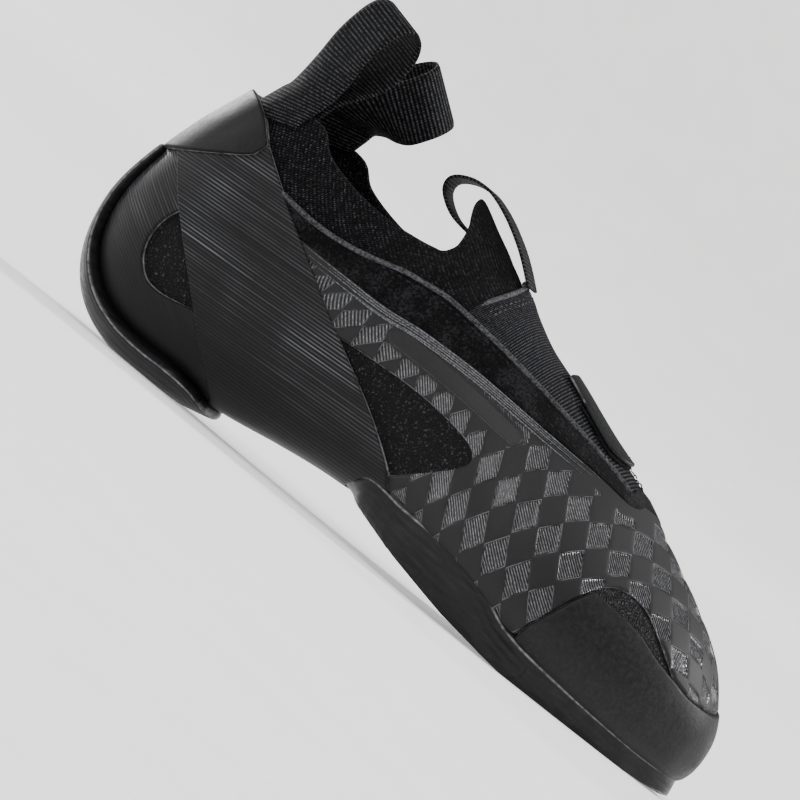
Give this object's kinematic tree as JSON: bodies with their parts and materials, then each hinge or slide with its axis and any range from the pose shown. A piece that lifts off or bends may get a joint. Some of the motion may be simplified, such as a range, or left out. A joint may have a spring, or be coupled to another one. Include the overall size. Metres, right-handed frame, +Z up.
{
  "type": "climbing shoe",
  "caption": "Right slip-on climbing shoe: hollow knitted upper with rubber rands, tension band, textured side panels, elastic instep, front sole, heel sole and webbing pull loops.",
  "frame": {"origin": "on the floor under the middle of the shoe's own box", "axes": "+X from the heel to the toe, +Y to the inner side of a right foot, +Z up"},
  "size_m": [0.255, 0.0928, 0.1377],
  "materials": {
    "knit": "black stretch knit, matte",
    "board": "black fibre board, matte",
    "sole_rubber": "black climbing rubber, matte with a dull sheen",
    "rand_rubber": "black rand rubber, fine ground lines",
    "synthetic": "black moulded synthetic with raised plates, half gloss",
    "suede": "black suede",
    "elastic": "black ribbed elastic",
    "webbing": "black ribbed webbing"
  },
  "bodies": {
    "root": {"upper": "knit", "insole": "board", "outsole": "sole_rubber", "heel_sole": "sole_rubber", "heel_cup": "rand_rubber", "tension_band": "rand_rubber", "heel_patch": "rand_rubber", "toe_rand": "rand_rubber", "side_overlay": "synthetic", "throat_binding": "suede", "instep_elastic": "elastic", "instep_tab": "rand_rubber", "heel_loop_lateral": "webbing", "heel_loop_medial": "webbing", "front_loop": "webbing"}
  },
  "joints": []
}
